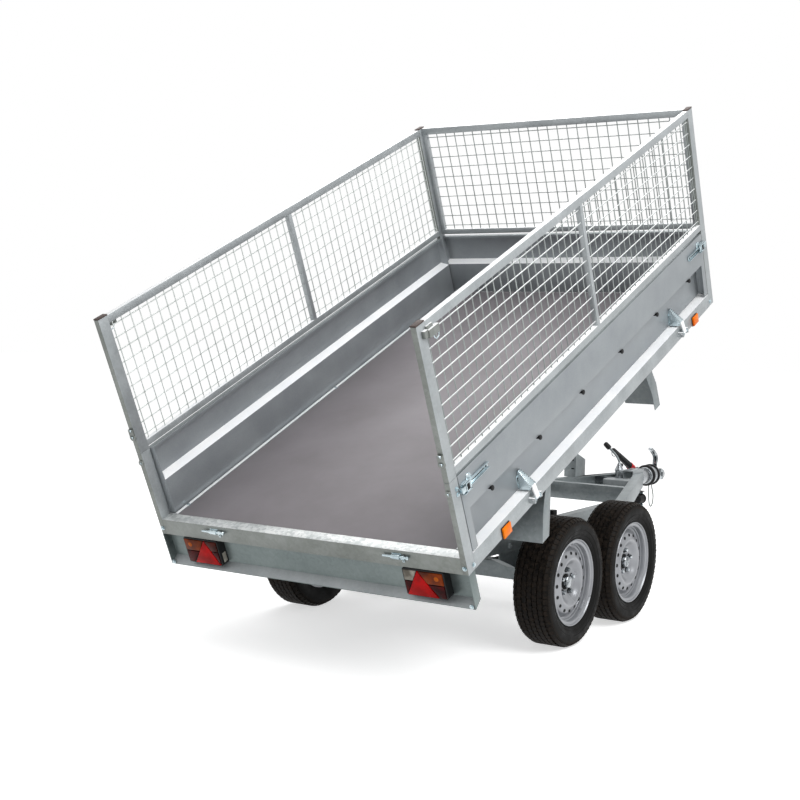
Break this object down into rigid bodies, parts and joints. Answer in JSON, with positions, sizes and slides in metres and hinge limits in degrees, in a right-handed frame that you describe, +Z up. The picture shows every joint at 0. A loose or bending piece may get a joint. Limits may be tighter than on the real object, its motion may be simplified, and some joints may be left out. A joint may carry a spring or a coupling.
{
  "type": "tipping utility trailer",
  "caption": "Galvanised tandem-axle trailer with a tipping plywood bed, drop sides, raised wire mesh panels, a telescopic lift cylinder, a ball coupling and a jockey wheel.",
  "frame": {"origin": "centre of the coupling's ball socket", "axes": "+X to the right, +Y forward to the towing vehicle, +Z up"},
  "size_m": [1.656, 4.225, 2.5165],
  "materials": {
    "galvanised_steel": "satin",
    "plywood": "satin",
    "tyre": "matte",
    "rim_silver": "satin",
    "cylinder_steel": "satin",
    "coupling_steel": "satin",
    "black_plastic": "matte",
    "black_rubber": "matte",
    "tank_grey": "satin",
    "cap_brown": "matte",
    "lamp_red": "gloss",
    "marker_amber": "gloss"
  },
  "bodies": {
    "chassis": {"chassis_rail_left": "galvanised_steel", "chassis_rail_right": "galvanised_steel", "axle_beams": "galvanised_steel", "drawbar_left": "galvanised_steel", "drawbar_right": "galvanised_steel", "chassis_cross_members": "galvanised_steel", "overrun_housing": "galvanised_steel", "bellows": "black_rubber", "coupling_head": "coupling_steel", "handbrake": "black_plastic", "pump_tank": "tank_grey", "jockey_outer": "galvanised_steel", "axle_front": "galvanised_steel", "axle_rear": "galvanised_steel", "parked_plug": "black_plastic", "breakaway_cable": "black_plastic", "bed_rests": "black_rubber"},
    "bed": {"side_rail_left": "galvanised_steel", "side_rail_right": "galvanised_steel", "rear_sill": "galvanised_steel", "front_beam": "galvanised_steel", "sub_frame": "galvanised_steel", "cross_members": "galvanised_steel", "floor": "plywood", "front_board": "galvanised_steel", "lower_posts": "galvanised_steel", "upper_posts": "galvanised_steel", "post_caps": "cap_brown", "mesh_left": "galvanised_steel", "mesh_right": "galvanised_steel", "mesh_front": "galvanised_steel", "light_beam": "galvanised_steel", "tail_lamp_left": "lamp_red", "tail_lamp_right": "lamp_red", "side_markers": "marker_amber", "mudguards": "galvanised_steel", "gate_hinges_and_latches": "galvanised_steel"},
    "board_right": {"side_board_right": "galvanised_steel", "board_fittings_right": "galvanised_steel", "rope_knobs_right": "black_plastic"},
    "board_left": {"side_board_left": "galvanised_steel", "board_fittings_left": "galvanised_steel", "rope_knobs_left": "black_plastic"},
    "wheel_front_right": {"tyre_front_right": "tyre", "rim_front_right": "rim_silver"},
    "wheel_rear_right": {"tyre_rear_right": "tyre", "rim_rear_right": "rim_silver"},
    "wheel_front_left": {"tyre_front_left": "tyre", "rim_front_left": "rim_silver"},
    "wheel_rear_left": {"tyre_rear_left": "tyre", "rim_rear_left": "rim_silver"},
    "jockey_leg": {"jockey_inner": "galvanised_steel"},
    "jockey_caster": {"jockey_fork": "galvanised_steel"},
    "jockey_roller": {"jockey_wheel": "black_plastic"},
    "barrel": {"cylinder_barrel": "cylinder_steel"},
    "stage_one": {"cylinder_stage_one": "cylinder_steel"},
    "stage_two": {"cylinder_stage_two": "cylinder_steel"},
    "ram": {"cylinder_ram": "cylinder_steel"}
  },
  "joints": [
    {"name": "bed_tip", "type": "hinge", "parent": "chassis", "child": "bed", "pos_m": [0, -3.3149, 0.1258], "axis": [1, 0, 0], "range_deg": [-23.34, 21.66]},
    {"name": "board_right_drop", "type": "hinge", "parent": "bed", "child": "board_right", "pos_m": [0.815, -2.49371, 0.60539], "axis": [0, 0.9182, 0.3962], "range_deg": [0, 180]},
    {"name": "board_left_drop", "type": "hinge", "parent": "bed", "child": "board_left", "pos_m": [-0.815, -2.49371, 0.60539], "axis": [0, -0.9182, -0.3962], "range_deg": [0, 180]},
    {"name": "jockey_height", "type": "slide", "parent": "chassis", "child": "jockey_leg", "axis": [0, 0, 1], "range_m": [-0.06, 0.09]},
    {"name": "jockey_swivel", "type": "hinge", "parent": "jockey_leg", "child": "jockey_caster", "pos_m": [0, -0.6, -0.255], "axis": [0, 0, 1], "continuous": true},
    {"name": "jockey_spin", "type": "hinge", "parent": "jockey_caster", "child": "jockey_roller", "pos_m": [0, -0.635, -0.355], "axis": [1, 0, 0], "continuous": true},
    {"name": "cylinder_swing", "type": "hinge", "parent": "chassis", "child": "barrel", "pos_m": [0, -2.414, -0.1757], "axis": [1, 0, 0], "range_deg": [-11.8, 11]},
    {"name": "stage_one_slide", "type": "slide", "parent": "barrel", "child": "stage_one", "axis": [0, -0.0606, 0.9982], "range_m": [-0.1196, 0.111]},
    {"name": "stage_two_slide", "type": "slide", "parent": "stage_one", "child": "stage_two", "axis": [0, -0.0606, 0.9982], "range_m": [-0.1196, 0.111]},
    {"name": "ram_slide", "type": "slide", "parent": "stage_two", "child": "ram", "axis": [0, -0.0606, 0.9982], "range_m": [-0.1196, 0.111]},
    {"name": "wheel_front_right_spin", "type": "hinge", "parent": "chassis", "child": "wheel_front_right", "pos_m": [0.698, -2.153, -0.163], "axis": [1, 0, 0], "continuous": true},
    {"name": "wheel_rear_right_spin", "type": "hinge", "parent": "chassis", "child": "wheel_rear_right", "pos_m": [0.698, -2.787, -0.163], "axis": [1, 0, 0], "continuous": true},
    {"name": "wheel_front_left_spin", "type": "hinge", "parent": "chassis", "child": "wheel_front_left", "pos_m": [-0.698, -2.153, -0.163], "axis": [1, 0, 0], "continuous": true},
    {"name": "wheel_rear_left_spin", "type": "hinge", "parent": "chassis", "child": "wheel_rear_left", "pos_m": [-0.698, -2.787, -0.163], "axis": [1, 0, 0], "continuous": true}
  ],
  "couplings": [
    {"joint": "cylinder_swing", "follows": "bed_tip", "ratio": 0.5},
    {"joint": "stage_one_slide", "follows": "bed_tip", "m_per_rad": 0.29263},
    {"joint": "stage_two_slide", "follows": "bed_tip", "m_per_rad": 0.29263},
    {"joint": "ram_slide", "follows": "bed_tip", "m_per_rad": 0.29263}
  ]
}
